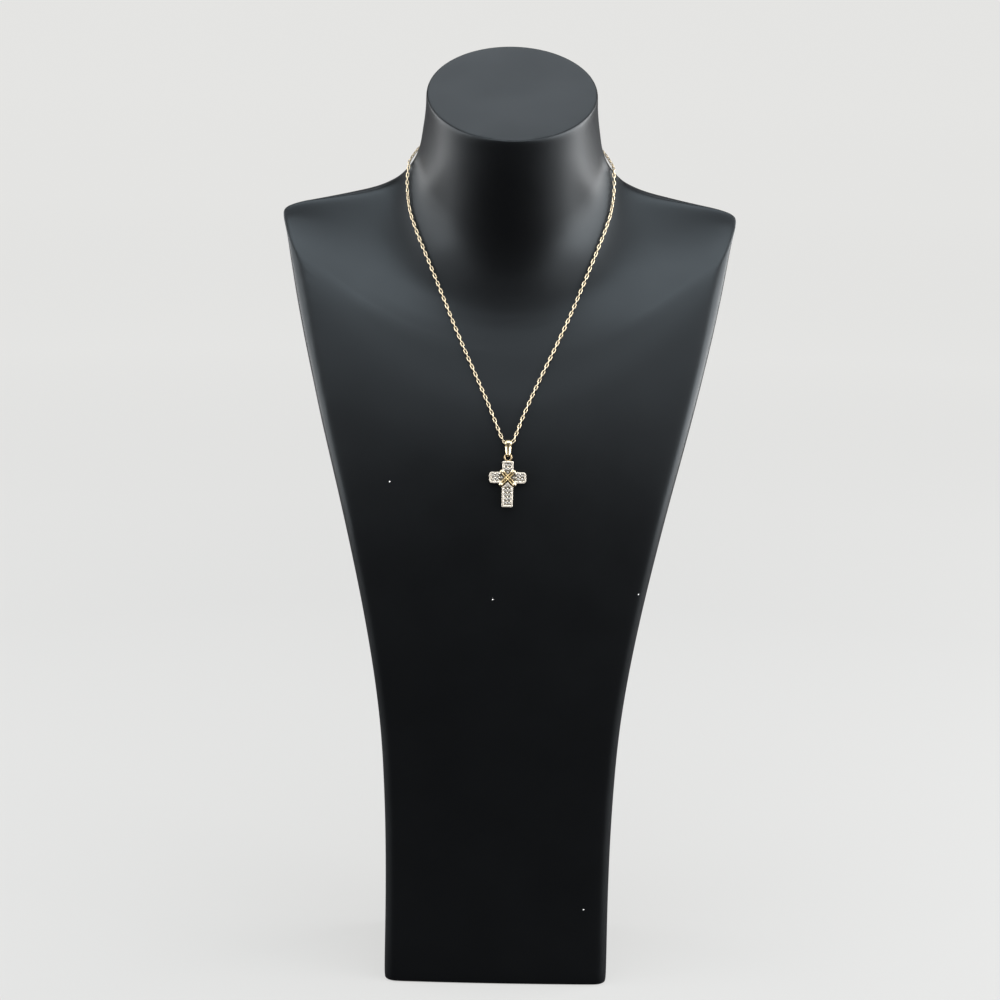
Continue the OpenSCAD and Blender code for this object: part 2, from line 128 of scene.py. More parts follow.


# %% [markdown]
# A node's mesh comes in as loose triangles, which can't be smoothed or subdivided. A copy
# whose doubles are merged is one closed skin, and the node itself is left alone. When a new
# piece is done, it rides on its body and stands for its node, which is hidden.

# %% Helpers for copying a node and putting a new piece in its place
def merged_copy(node, name, place=None):
    """A node's shape as one closed skin, moved by the matrix place."""
    piece = bpy.data.objects.new(name, nodes[node].data.copy())
    piece.data.name = name
    piece.data.materials.clear()
    bpy.context.scene.collection.objects.link(piece)
    edit(piece)
    bpy.ops.mesh.select_all(action="SELECT")
    bpy.ops.mesh.remove_doubles(threshold=0.002 * MM)
    close()
    bpy.ops.mesh.customdata_custom_splitnormals_clear()
    if place:
        piece.data.transform(place)
    return piece


def hand_in(piece, body, slot, *stands_for):
    """The finished piece rides on its body and replaces its nodes."""
    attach(piece, body)
    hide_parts(*stands_for)
    print(f"{piece.name}: {triangles(piece)} triangles, for {', '.join(stands_for)}")
    return piece


# %% [markdown]
# A finish could be painted as a picture, but here a few values and a fine noise describe it
# at any distance. The values that are the same everywhere are set on the shader itself.
# Every pattern reads object coordinates, so it stays on the piece from any side.

# %% Helpers for finishes
def new_finish(name, colour, roughness, metallic=0.0, ior=1.5):
    """A material with the values that are the same all over the surface."""
    finish = bpy.data.materials.new(name)
    finish.use_nodes = True
    shader = finish.node_tree.nodes["Principled BSDF"]
    shader.inputs["Base Color"].default_value = (*colour, 1)
    shader.inputs["Roughness"].default_value = roughness
    shader.inputs["Metallic"].default_value = metallic
    shader.inputs["IOR"].default_value = ior
    return finish


def noise_on(finish, size_mm, detail=3):
    """A soft random pattern whose lumps are about that size, on object coordinates."""
    tree = finish.node_tree
    place = tree.nodes.new("ShaderNodeTexCoord")
    noise = tree.nodes.new("ShaderNodeTexNoise")
    noise.inputs["Scale"].default_value = 1 / (size_mm * MM)
    noise.inputs["Detail"].default_value = detail
    tree.links.new(place.outputs["Object"], noise.inputs["Vector"])
    return noise.outputs["Fac"]


def between(finish, value, low, high):
    """Brings a pattern that runs from 0.3 to 0.7 to the range low to high."""
    tree = finish.node_tree
    spread = tree.nodes.new("ShaderNodeMapRange")
    spread.inputs["From Min"].default_value = 0.3
    spread.inputs["From Max"].default_value = 0.7
    spread.inputs["To Min"].default_value = low
    spread.inputs["To Max"].default_value = high
    tree.links.new(value, spread.inputs["Value"])
    return spread.outputs["Result"]


def rough_between(finish, size_mm, low, high):
    """Makes the gloss uneven, as handling does."""
    shader = finish.node_tree.nodes["Principled BSDF"]
    spread = between(finish, noise_on(finish, size_mm), low, high)
    finish.node_tree.links.new(spread, shader.inputs["Roughness"])


def uneven(finish, size_mm, height_mm):
    """A shallow bump, as cast and polished metal has."""
    tree = finish.node_tree
    bump = tree.nodes.new("ShaderNodeBump")
    bump.inputs["Distance"].default_value = height_mm * MM
    tree.links.new(noise_on(finish, size_mm), bump.inputs["Height"])
    tree.links.new(bump.outputs["Normal"], tree.nodes["Principled BSDF"].inputs["Normal"])


# %% [markdown]
# The chain, the bail and the straps are gold, and the front of the cross is plated white.
# They are metals, so the base colour is the colour of what they mirror. True gold is paler,
# but the lamps that bring out an almost black bust are strong, and darker metals keep their
# tone beside it. The pieces differ a little in polish, and their golds are lighter or darker
# as each piece looks under the lamps, which is painted light and shade.

# %% Gold and white plating
yellow_gold = new_finish("yellow_gold", (0.36, 0.3, 0.21), 0.35, metallic=1)
rough_between(yellow_gold, 0.9, 0.32, 0.46)
uneven(yellow_gold, 0.5, 0.01)
bright_gold = new_finish("bright_gold", (0.44, 0.36, 0.225), 0.24, metallic=1)
cast_gold = new_finish("cast_gold", (0.54, 0.42, 0.225), 0.28, metallic=1)
# A nearly black gold, painted shade for the slot and the grooves of the cross.
painted_shade_gold = new_finish("painted_shade_gold", (0.1, 0.07, 0.035), 0.45, metallic=1)
white_gold = new_finish("white_gold", (0.66, 0.6, 0.515), 0.4, metallic=1)
rough_between(white_gold, 0.6, 0.34, 0.48)
uneven(white_gold, 0.4, 0.012)
# The ring's gold is a darker copy of the same metal, painted shade.
ring_gold = new_finish("ring_gold", (0.25, 0.19, 0.115), 0.35, metallic=1)
bed_gold = new_finish("bed_gold", (0.2, 0.175, 0.135), 0.35, metallic=1)
print("golds", [finish.name for finish in bpy.data.materials if "gold" in finish.name])

# %% [markdown]
# The stones are clear, and a clear stone shows the light and the dark around it broken up by
# its facets. True glass needs many rays and turns grey in a small picture. A pale, very
# shiny surface with cells of light and dark behaves like it at any distance.

# %% Clear stone
STONE_CELL_MM = 0.42
STONE_DARK = (0.02, 0.02, 0.02, 1)
STONE_PALE = (0.21, 0.185, 0.15, 1)
clear_stone = new_finish("clear_stone", (0.3, 0.29, 0.27), 0.06, ior=1.9)
stone_tree = clear_stone.node_tree
stone_place = stone_tree.nodes.new("ShaderNodeTexCoord")
stone_cells = stone_tree.nodes.new("ShaderNodeTexVoronoi")
stone_cells.inputs["Scale"].default_value = 1 / (STONE_CELL_MM * MM)
stone_tones = stone_tree.nodes.new("ShaderNodeValToRGB")
stone_tones.color_ramp.elements[0].color = STONE_DARK
stone_tones.color_ramp.elements[1].color = STONE_PALE
stone_tree.links.new(stone_place.outputs["Object"], stone_cells.inputs["Vector"])
stone_tree.links.new(stone_cells.outputs["Color"], stone_tones.inputs["Fac"])
stone_tree.links.new(
    stone_tones.outputs["Color"], stone_tree.nodes["Principled BSDF"].inputs["Base Color"]
)
print(f"stone cells {STONE_CELL_MM} mm wide")

# %% [markdown]
# The bust is satin and almost black, so what shows is the light on it. Its low index of
# refraction keeps the mirror image faint, and a slight tint makes it cool. The base colour
# is switched by a value that is 0 on the skin and 1 on dust.

# %% Satin black
SATIN = (0.0011, 0.0011, 0.0012)
DUST = (0.6, 0.6, 0.58)
satin_black = new_finish("satin_black", SATIN, 0.42, ior=1.25)
rough_between(satin_black, 30, 0.38, 0.43)
satin_tree = satin_black.node_tree
satin_shader = satin_tree.nodes["Principled BSDF"]
satin_shader.inputs["Specular Tint"].default_value = (0.83, 0.93, 1.0, 1)
satin_or_dust = satin_tree.nodes.new("ShaderNodeValToRGB")
satin_or_dust.color_ramp.elements[0].color = (*SATIN, 1)
satin_or_dust.color_ramp.elements[1].color = (*DUST, 1)
satin_tree.links.new(satin_or_dust.outputs["Color"], satin_shader.inputs["Base Color"])
print("satin black", SATIN)

# %% [markdown]
# A few specks of pale dust lie on the bust. Each is a spot of paint round a chosen point of
# the skin: the distance to the point is compared with the speck's radius. Grains of their
# own would be pieces that nobody could hold, and a picture of dust would need a flat map.

# %% Dust on the bust
SPECK_MM = 0.3
SPECKS = [
    (-0.0506, -0.0463, 0.2359),
    (-0.0044, -0.0506, 0.1845),
    (0.0601, -0.0487, 0.1875),
    (0.0397, -0.0419, 0.0376),
]
satin_place = satin_tree.nodes.new("ShaderNodeTexCoord")
dust = None
for speck in SPECKS:
    away = satin_tree.nodes.new("ShaderNodeVectorMath")
    away.operation = "DISTANCE"
    away.inputs[1].default_value = speck
    satin_tree.links.new(satin_place.outputs["Object"], away.inputs[0])
    inside = satin_tree.nodes.new("ShaderNodeMath")
    inside.operation = "LESS_THAN"
    inside.inputs[1].default_value = SPECK_MM * MM
    satin_tree.links.new(away.outputs["Value"], inside.inputs[0])
    if dust is None:
        dust = inside.outputs["Value"]
    else:
        either = satin_tree.nodes.new("ShaderNodeMath")
        either.operation = "MAXIMUM"
        satin_tree.links.new(dust, either.inputs[0])
        satin_tree.links.new(inside.outputs["Value"], either.inputs[1])
        dust = either.outputs["Value"]
satin_tree.links.new(dust, satin_or_dust.inputs["Fac"])
print(len(SPECKS), "specks of dust")

# %% [markdown]
# The bust is one moulded skin. The node has its true form in quads about 5 mm long, cut into
# triangles. Sculpting it again would only lose that form, so a copy gets its quads back, its
# two flat ends become one face each, and subdivision rounds what lies between. An end is all
# that lies in its plane, without the narrow bevel around it, which keeps the rim crisp.

# %% Pick a flat end of the bust
LEVEL_ENOUGH = 0.8
IN_PLANE = 0.012 * MM


def pick_flat_end(piece, height, reach):
    """In edit mode, selects the flat end that lies within reach of that height."""
    bpy.ops.mesh.select_all(action="DESELECT")
    form = bmesh.from_edit_mesh(piece.data)
    level = [
        face
        for face in form.faces
        if abs(face.calc_center_median().z - height) < reach
        and abs(face.normal.x) < 0.01
        and abs(face.normal.z) > LEVEL_ENOUGH
    ]
    areas = [face.calc_area() for face in level]
    normal = sum((face.normal * area for face, area in zip(level, areas)), Vector()).normalized()
    weighed = (face.calc_center_median() * area for face, area in zip(level, areas))
    middle = sum(weighed, Vector()) / sum(areas)
    for face in form.faces:
        off = max(abs((corner.co - middle).dot(normal)) for corner in face.verts)
        face.select_set(off < IN_PLANE)
    bmesh.update_edit_mesh(piece.data)


# %% The bust
END_BORDER = 3 * MM
bust = merged_copy("bust", "neck_bust")
bust_low, bust_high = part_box("bust")
edit(bust)
bpy.ops.mesh.select_mode(type="FACE")
for height, reach in ((bust_low.z, 0.1 * MM), (bust_high.z, 60 * MM)):
    pick_flat_end(bust, height, reach)
    bpy.ops.mesh.dissolve_faces()
    bpy.ops.mesh.inset(thickness=END_BORDER)
bpy.ops.mesh.select_all(action="SELECT")
bpy.ops.mesh.tris_convert_to_quads(
    face_threshold=math.radians(60), shape_threshold=math.radians(120)
)
close()
apply_modifier(bust, "SUBSURF", levels=2, render_levels=2)
bpy.ops.object.shade_smooth_by_angle(angle=math.radians(40))
bust.data.materials.append(satin_black)
hand_in(bust, "bust_and_chain", "bust_resin", "bust")

# %% [markdown]
# The chain is made of oval links that hook into each other, one seen from its face and the
# next from its edge, which gives a fine line with an eye in every second link. Its route
# is the node's tube. Tracing the tube by hand would be slow and less exact than reading it.
# The tube is made of rings of points, and points joined by short edges belong to one ring.

# %% Sort the tube's points into rings
RING_EDGE = 0.8 * MM
tube = merged_copy("chain", "tube")
ring_of = list(range(len(tube.data.vertices)))


def ring_root(i):
    """The point that stands for the ring of point i."""
    while ring_of[i] != i:
        i = ring_of[i]
    return i


points = [vertex.co.copy() for vertex in tube.data.vertices]
edges = [tuple(edge.vertices) for edge in tube.data.edges]
for a, b in edges:
    if (points[a] - points[b]).length < RING_EDGE:
        ring_of[ring_root(a)] = ring_root(b)
rings = {}
for i, point in enumerate(points):
    rings.setdefault(ring_root(i), []).append(point)
middles = {root: sum(ring, Vector()) / len(ring) for root, ring in rings.items()}
print(len(rings), "rings of", len(next(iter(rings.values()))), "points")

# %% [markdown]
# The rings' middles lie on the chain's line, but in no order. Each ring's neighbours are
# known from the long edges, so the line is walked ring by ring from the end on the left.

# %% Walk along the rings
beside = {root: set() for root in rings}
for a, b in edges:
    if ring_root(a) != ring_root(b):
        beside[ring_root(a)].add(ring_root(b))
        beside[ring_root(b)].add(ring_root(a))
here = min((r for r in rings if len(beside[r]) == 1), key=lambda r: middles[r].x)
walked = [here]
while len(walked) < len(rings):
    here = next(r for r in beside[here] if r not in walked)
    walked.append(here)
bpy.data.objects.remove(tube)
print("walked from", [round(x / MM, 1) for x in middles[walked[0]]], "mm")

# %% [markdown]
# The tube stops just short of the clasp, while the last link goes through the clasp's eye,
# so the line is carried on to the eye. The tube has a corner on each side of the bail. A
# chain under load cuts such a corner a little, and so does the line here. Each half hangs
# almost straight in front, so its points there are eased towards one another.

# %% Carry the line on, cut its corners and ease it
CORNER_CUT = 0.2
HANGS_BELOW = 0.34
EASINGS = 8
clasp_low, clasp_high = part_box("clasp")
clasp_middle = (clasp_low + clasp_high) / 2
left_eye = Vector((clasp_low.x, clasp_middle.y, clasp_middle.z))
right_eye = Vector((clasp_high.x, clasp_middle.y, clasp_middle.z))
line = [left_eye] + [middles[r] for r in walked] + [right_eye]
aside = [abs(point.x - chain_middle.x) for point in line]
gaps = [a + b for a, b in zip(aside, aside[1:])]
left = gaps.index(min(gaps))
corners = [line[left], line[left + 1]]
beyond = [line[left - 1], line[left + 2]]
for i, (corner, next_one) in enumerate(zip(corners, beyond)):
    line[left + i] = (1 - 2 * CORNER_CUT) * corner + CORNER_CUT * (next_one + chain_middle)
line.insert(left + 1, chain_middle.copy())
for _ in range(EASINGS):
    before = [point.copy() for point in line]
    for i in range(1, len(line) - 1):
        in_front = line[i].y < 0 and line[i].z < HANGS_BELOW
        if in_front and not left - 1 <= i <= left + 3:
            line[i] = (before[i - 1] + 2 * before[i] + before[i + 1]) / 4
print(len(line), "points, the bail's corners at", left, "and", left + 2)

# %% [markdown]
# A smooth curve through the points is measured and divided into equal steps, one for each
# link. Equal steps of the curve's own parameter would give links of uneven length.

# %% Divide the line into links
LINK_PITCH = 1.85 * MM
FINE = 12
curve = []
for i in range(len(line) - 1):
    before, a = line[max(i - 1, 0)], line[i]
    b, after = line[i + 1], line[min(i + 2, len(line) - 1)]
    for k in range(FINE):
        t = k / FINE
        curve.append(
            a + t / 2 * (
                (b - before)
                + t * ((2 * before - 5 * a + 4 * b - after) + t * (3 * (a - b) + after - before))
            )
        )
curve = np.array(curve + [line[-1]], float)
travelled = np.concatenate([[0], np.cumsum(np.linalg.norm(np.diff(curve, axis=0), axis=1))])
link_count = round(travelled[-1] / LINK_PITCH) + 1
at = np.linspace(0, travelled[-1], link_count)
link_places = np.stack([np.interp(at, travelled, curve[:, k]) for k in range(3)], axis=1)
print(f"chain line {travelled[-1] / MM:.1f} mm, {link_count} links")

# %% [markdown]
# One link is a torus whose two halves are moved apart, which gives an oval of even wire. It
# is repeated some two hundred times, so it has only a few dozen faces.

# %% One link
LINK_WIRE = 0.46 * MM
LINK_WIDTH = 1.55 * MM
link_length = (at[1] - at[0]) + 2 * LINK_WIRE
bpy.ops.object.select_all(action="DESELECT")
bpy.ops.mesh.primitive_torus_add(
    major_segments=10,
    minor_segments=6,
    major_radius=(LINK_WIDTH - LINK_WIRE) / 2,
    minor_radius=LINK_WIRE / 2,
)
link = bpy.context.object
link.name = "link"
edit(link)
for side in (-1, 1):
    pick(link, lambda place: side * place.x > 0)
    bpy.ops.transform.translate(value=(side * (link_length - LINK_WIDTH) / 2, 0, 0))
close()
bpy.ops.object.shade_smooth()
print(f"one link: {triangles(link)} triangles, {link_length / MM:.2f} mm long")

# %% [markdown]
# Each link has its own mesh and lies along the line. It faces away from the bust, mostly to
# the front or the back, and every second link is rolled a quarter of a turn more, so that it
# hooks into its neighbours. Links never lie quite flat, so all are rolled a little. An array
# along a curve would do it too, but its links would lean wherever the curve twists.

# %% The linked chain
FACING = 0.15
LEANING = math.radians(-14)
ahead = np.gradient(link_places, axis=0)
copies = []
for i, place in enumerate(link_places):
    along = Vector(ahead[i]).normalized()
    outwards = Vector((FACING * place[0], place[1], 0))
    outwards = (outwards - outwards.dot(along) * along).normalized()
    turn = Matrix((along, outwards.cross(along), outwards)).transposed().to_4x4()
    roll = Matrix.Rotation(LEANING + (i % 2) * math.pi / 2, 4, "X")
    copy = bpy.data.objects.new("link", link.data.copy())
    copy.data.transform(Matrix.Translation(Vector(place)) @ turn @ roll)
    bpy.context.scene.collection.objects.link(copy)
    copies.append(copy)
bpy.data.objects.remove(link)
bpy.ops.object.select_all(action="DESELECT")
for copy in copies:
    copy.select_set(True)
bpy.context.view_layer.objects.active = copies[0]
bpy.ops.object.join()
linked = bpy.context.object
linked.name = linked.data.name = "linked_chain"
linked.data.materials.append(yellow_gold)
hand_in(linked, "bust_and_chain", "yellow_gold", "chain")

# %% [markdown]
# The clasp is a ring with an eye at each side, behind the neck. Three tori would make it
# again, but the node's form is already what it is, so a merged copy with smooth shading and
# the gold finish is enough.

# %% The clasp
clasp = merged_copy("clasp", "ring_clasp")
select_only(clasp)
bpy.ops.object.shade_smooth_by_angle(angle=math.radians(40))
clasp.data.materials.append(yellow_gold)
hand_in(clasp, "bust_and_chain", "yellow_gold", "clasp")

# %% [markdown]
# The bail is a strip of polished gold folded over the chain, widest at the top and tapering
# to a narrow bend that holds the ring. It is domed, which makes the bright edges and the
# dark band down its middle. It starts as a circle round the chain, is extruded into a
# tube, and its lower half is moved down. Rows are then narrowed, columns pulled in, and
# Solidify and Subdivision give it thickness and a soft edge.

# %% Sizes of the bail, from its node
bail_points = [to_pendant @ vertex.co for vertex in nodes["bail"].data.vertices]
bail_top_r = max(point.z for point in bail_points)
bail_low_r = -min(point.z for point in bail_points) - bail_length
BAIL_TRIM = 0.9
bail_width = 2 * BAIL_TRIM * max(abs(point.x) for point in bail_points)
BAIL_LOW_WIDTH = 2.5
BAIL_TIP_WIDTH = 1.2
BAIL_DOME = 0.42
BAIL_FRONT_DOME = 0.8
BAIL_TIP_DOME = 0.14
BAIL_METAL = 0.36
print(f"bail {bail_width:.2f} wide, bends {bail_top_r:.2f} and {bail_low_r:.2f} in radius")

# %% The bail's strip
COLUMNS = 6
ROWS_CUT = 9
bpy.ops.object.select_all(action="DESELECT")
bpy.ops.mesh.primitive_circle_add(
    vertices=32,
    radius=bail_top_r,
    location=(-bail_width / 2, 0, 0),
    rotation=(0, math.pi / 2, 0),
)
bail = bpy.context.object
bail.name = bail.data.name = "folded_bail"
bpy.ops.object.transform_apply()
edit(bail)
bpy.ops.mesh.select_all(action="SELECT")
for step in range(COLUMNS):
    bpy.ops.mesh.extrude_region_move(
        TRANSFORM_OT_translate={"value": (bail_width / COLUMNS, 0, 0)}
    )
pick(bail, lambda place: place.z < -0.01)
shrink = bail_low_r / bail_top_r
bpy.ops.transform.resize(value=(1, shrink, shrink), center_override=(0, 0, 0))
bpy.ops.transform.translate(value=(0, 0, -bail_length))
bpy.ops.mesh.select_mode(type="EDGE")
bpy.ops.mesh.select_all(action="DESELECT")
form = bmesh.from_edit_mesh(bail.data)
for edge in form.edges:
    edge.select_set(edge.calc_length() > bail_length / 2)
bmesh.update_edit_mesh(bail.data)
bpy.ops.mesh.subdivide(number_cuts=ROWS_CUT)
bpy.ops.mesh.select_mode(type="VERT")
print("strip of", len(bmesh.from_edit_mesh(bail.data).verts), "points")

# %% [markdown]
# From the top the strip narrows evenly, and just above the lower bend its shoulders run in
# to the narrow tip. Every point moves towards the strip's middle by its row's width, and
# towards the hollow by how far out it lies, which bows the strip from edge to edge.

# %% Taper and dome the bail
SHOULDER_FROM = -bail_length + 0.5
SHOULDER_TO = -bail_length - 0.5
DOME_FROM = 0.3
DOME_TO = 1.6


def share(value, start, end):
    """How far value has come from start to end, eased at both ends."""
    t = min(1, max(0, (value - start) / (end - start)))
    return t * t * (3 - 2 * t)


form = bmesh.from_edit_mesh(bail.data)
for point in form.verts:
    out = 2 * point.co.x / bail_width
    core = Vector((point.co.x, 0, min(0, max(-bail_length, point.co.z))))
    inwards = (core - point.co).normalized()
    narrow = min(1, max(0, -point.co.z / bail_length))
    tip = share(point.co.z, SHOULDER_FROM, SHOULDER_TO)
    width = bail_width + (BAIL_LOW_WIDTH - bail_width) * narrow
    width += (BAIL_TIP_WIDTH - width) * tip
    below_chain = share(-point.co.z, DOME_FROM, DOME_TO) * (1 if point.co.y < 0 else 0)
    dome = BAIL_DOME + (BAIL_FRONT_DOME - BAIL_DOME) * below_chain
    dome += (BAIL_TIP_DOME - dome) * tip
    point.co = Vector((out * width / 2, point.co.y, point.co.z)) + inwards * dome * out * out
bmesh.update_edit_mesh(bail.data)
close()
print(len(bail.data.vertices), "points, narrowed from", BAIL_LOW_WIDTH, "to", BAIL_TIP_WIDTH, "mm")

# %% [markdown]
# The strip is an open sheet, and on a sheet the recalculated normals may all point inwards.
# They are compared with the way out from the chain and turned round if they must be, because
# Solidify adds the metal's thickness on the inner side.

# %% Turn the strip the right way out
edit(bail)
bpy.ops.mesh.select_all(action="SELECT")
bpy.ops.mesh.normals_make_consistent(inside=False)
close()
outwards = sum(
    face.normal.dot(Vector((0, face.center.y, face.center.z)))
    for face in bail.data.polygons
    if face.center.z > 0
)
if outwards < 0:
    edit(bail)
    bpy.ops.mesh.select_all(action="SELECT")
    bpy.ops.mesh.flip_normals()
    close()
print("the strip was turned" if outwards < 0 else "the strip already faced outwards")

# %% Thickness and finish of the bail
apply_modifier(bail, "SOLIDIFY", thickness=BAIL_METAL, offset=-1)
apply_modifier(bail, "SUBSURF", levels=2, render_levels=2)
bpy.ops.object.shade_smooth()
bail.data.transform(from_pendant)
bail.data.materials.append(bright_gold)
hand_in(bail, "bail", "yellow_gold", "bail")

# %% [markdown]
# The cross is one casting: plate, raised border, beads, crossed straps, lugs and ring. Cast
# and polished metal has no hard edge anywhere. A voxel remesh of the node's form followed by
# a little smoothing rounds every edge and fills every inner corner at once, which bevels
# on so many crossing shapes wouldn't. It is done in millimetres, because the voxels would
# be too small for the modifier in metres.

# %% The cross
CROSS_VOXEL = 0.085
cross = merged_copy("cross", "cast_cross", to_pendant)
cross_low = Vector([min(v.co[k] for v in cross.data.vertices) for k in range(3)])
cross_high = Vector([max(v.co[k] for v in cross.data.vertices) for k in range(3)])
apply_modifier(cross, "REMESH", mode="VOXEL", voxel_size=CROSS_VOXEL, use_smooth_shade=True)
apply_modifier(cross, "SMOOTH", factor=0.5, iterations=3)
bpy.ops.object.shade_smooth()
print("cross", [round(x, 2) for x in cross_high - cross_low], "mm,", triangles(cross))

# %% [markdown]
# The front of the cross is plated white, while the straps, their lugs, the ring, the edges
# and the back keep the yellow. Both are finishes of one casting, so the faces are given
# their finish by place: what stands in a strap's band in front of the plate, what lies
# deeper than the beds, and what is above the top edge is yellow, the ring in a darker gold
# that is painted shade. The slot and the grooves along the straps are nearly black, a
# painted shade for the shadow that lies in them, and the floor of the beds is a darker
# grey. All places are in millimetres in the pendant's frame, where -Y is the front, so y is
# smaller where the metal stands out more.

# %% Measure where each face of the cross lies
CROSS_MIDDLE = -15.03
CROSS_TOP = -7.83
PLATE_FRONT = -0.85
BED_DEPTH = 0.3
STRAP_HALF = 0.83
STRAP_CREST = -1.04
LUG_R = 0.95
UPPER_REACH = 3.3
LOWER_REACH = 3.6
BAND_EDGE = STRAP_HALF + 0.06
UPPER = UPPER_REACH * math.sqrt(2) - LUG_R
LOWER = LOWER_REACH * math.sqrt(2) - LUG_R
faces = len(cross.data.polygons)
middles_of = np.empty(faces * 3)
cross.data.polygons.foreach_get("center", middles_of)
x, y, z = middles_of.reshape(-1, 3).T
z_mid = z - CROSS_MIDDLE
one_way = (x + z_mid) / math.sqrt(2)
other_way = (x - z_mid) / math.sqrt(2)
in_band = (
    (np.abs(one_way) < BAND_EDGE) & (-UPPER < other_way) & (other_way < LOWER)
    | (np.abs(other_way) < BAND_EDGE) & (-LOWER < one_way) & (one_way < UPPER)
)
print(faces, "faces measured,", int(in_band.sum()), "of them in the straps' bands")

# %% Tell the parts of the cross apart
LUG_EDGE = LUG_R + 0.08
GROOVE_EDGE = STRAP_HALF + 0.12
GROOVE_REACH = 2.6
SLOT_REACH = 2.35
SLOT_FROM = 0.7
SLOT_TO = 2
SLOT_FLOOR = 0.3
in_lug = np.zeros(faces, bool)
for a, b in ((UPPER, 0), (-LOWER, 0), (0, LOWER), (0, -UPPER)):
    in_lug |= np.hypot(one_way - a, other_way - b) < LUG_EDGE
raised = y < PLATE_FRONT - 0.02
deep = y > PLATE_FRONT + BED_DEPTH + 0.08
above = z > CROSS_TOP + 0.05
groove = np.minimum(np.abs(one_way), np.abs(other_way)) < GROOVE_EDGE
groove &= (np.abs(x) < GROOVE_REACH) & (np.abs(z_mid) < GROOVE_REACH)
groove &= (y > STRAP_CREST) & ~deep
drop = -z_mid - np.abs(x)
slot = (drop > SLOT_FROM) & (drop < SLOT_TO) & (np.abs(x) < SLOT_REACH)
slot &= deep & (y < SLOT_FLOOR)
bed = (y > PLATE_FRONT + 0.14) & ~deep
print("faces in lugs, grooves and slot:", [int(part.sum()) for part in (in_lug, groove, slot)])

# %% Give each face its finish
finishes = [cast_gold, white_gold, bed_gold, painted_shade_gold, yellow_gold, ring_gold]
STRAP, PLATING, BED, SHADED_HOLLOW, LUG, RING = range(len(finishes))
# The slot and the grooves take the nearly black gold, painted shade, and the ring its darker gold,
# painted shade too.
finish_of = np.select(
    [above, in_lug, groove | slot, in_band & raised | deep, bed],
    [RING, LUG, SHADED_HOLLOW, STRAP, BED],
    PLATING,
)
for finish in finishes:
    cross.data.materials.append(finish)
cross.data.polygons.foreach_set("material_index", finish_of.astype(np.int32))
cross.data.transform(from_pendant)
hand_in(cross, "pendant", "two_tone_gold", "cross")
print("faces of each finish", np.bincount(finish_of).tolist())

# %% [markdown]
# The stones are round brilliants. One is built at diameter 1 from circles: the table, the
# points between star and bezel facets, the girdle and the pavilion. The convex hull of the
# circles is exactly the cut stone, because a brilliant is convex, and joining the flat
# triangles of each facet finishes it.

# %% One brilliant
TABLE_UP = 0.18
GIRDLE_HALF = 0.03
CUT = [
    (8, 0.29, TABLE_UP, 0),
    (8, 0.405, 0.115, 22.5),
    (16, 0.5, GIRDLE_HALF, 0),
    (16, 0.5, -GIRDLE_HALF, 0),
    (8, 0.25, -0.215, 22.5),
    (8, 0.04, -0.39, 0),
]
bpy.ops.object.select_all(action="DESELECT")
bpy.ops.object.add(type="MESH")
stone = bpy.context.object
stone.name = "brilliant"
edit(stone)
for sides, radius, height, turned_by in CUT:
    bpy.ops.mesh.primitive_circle_add(
        vertices=sides,
        radius=radius,
        location=(0, 0, height),
        rotation=(0, 0, math.radians(turned_by)),
    )
bpy.ops.mesh.select_all(action="SELECT")
bpy.ops.mesh.convex_hull()
bpy.ops.mesh.dissolve_limited(angle_limit=math.radians(1))
bpy.ops.mesh.select_all(action="SELECT")
bpy.ops.mesh.normals_make_consistent(inside=False)
close()
print("one brilliant:", len(stone.data.polygons), "facets")

# %% [markdown]
# Each node says where its stone sits and how wide it is. A copy is scaled to that width,
# its table turned to the front and set at the height of the node's table.

# %% Set the stones
stone_nodes = sorted((n for n in nodes if n.startswith("stone_")), key=lambda n: int(n[6:]))
for node in stone_nodes:
    there = [to_pendant @ vertex.co for vertex in nodes[node].data.vertices]
    low = Vector([min(p[k] for p in there) for k in range(3)])
    high = Vector([max(p[k] for p in there) for k in range(3)])
    width = high.x - low.x
    middle = (low + high) / 2
    girdle = Vector((middle.x, low.y + TABLE_UP * width, middle.z))
    brilliant = bpy.data.objects.new("brilliant_" + node[6:], stone.data.copy())
    brilliant.data.transform(
        from_pendant
        @ Matrix.Translation(girdle)
        @ Matrix.Rotation(math.pi / 2, 4, "X")
        @ Matrix.Scale(width, 4)
    )
    bpy.context.scene.collection.objects.link(brilliant)
    brilliant.data.materials.append(clear_stone)
    hand_in(brilliant, "pendant", "clear_stone", node)
bpy.data.objects.remove(stone)

# %% [markdown]
# The photograph is taken from slightly above with a long lens, in front of a pale backdrop.
# The camera's place follows from the size of the bust in the picture: twelve degrees down,
# and a small roll, because the bust leans a little in the frame.

# %% Camera
PITCH = math.radians(12)
ROLL = math.radians(1.1)
DISTANCE = 1.269
AIM = Vector((-0.00196, 0, 0.2187))
camera = bpy.data.objects.new("camera", bpy.data.cameras.new("camera"))
camera.data.lens = 100
camera.data.sensor_width = 36
camera.matrix_world = (
    Matrix.Translation(AIM + DISTANCE * Vector((0, -math.cos(PITCH), math.sin(PITCH))))
    @ Matrix.Rotation(math.pi / 2 - PITCH, 4, "X")
    @ Matrix.Rotation(ROLL, 4, "Z")
)
bpy.context.scene.collection.objects.link(camera)
bpy.context.scene.camera = camera
print("camera at", [round(1000 * x) for x in camera.matrix_world.translation], "mm")

# %% [markdown]
# The object stands on plain pale paper that fills the picture. The soft boxes light the
# paper close to the bust only, so it also glows, more the farther away it is, which keeps
# it even from front to back and leaves a soft shadow round the foot. More lamps would do
# the same, but the bust would mirror each of them.

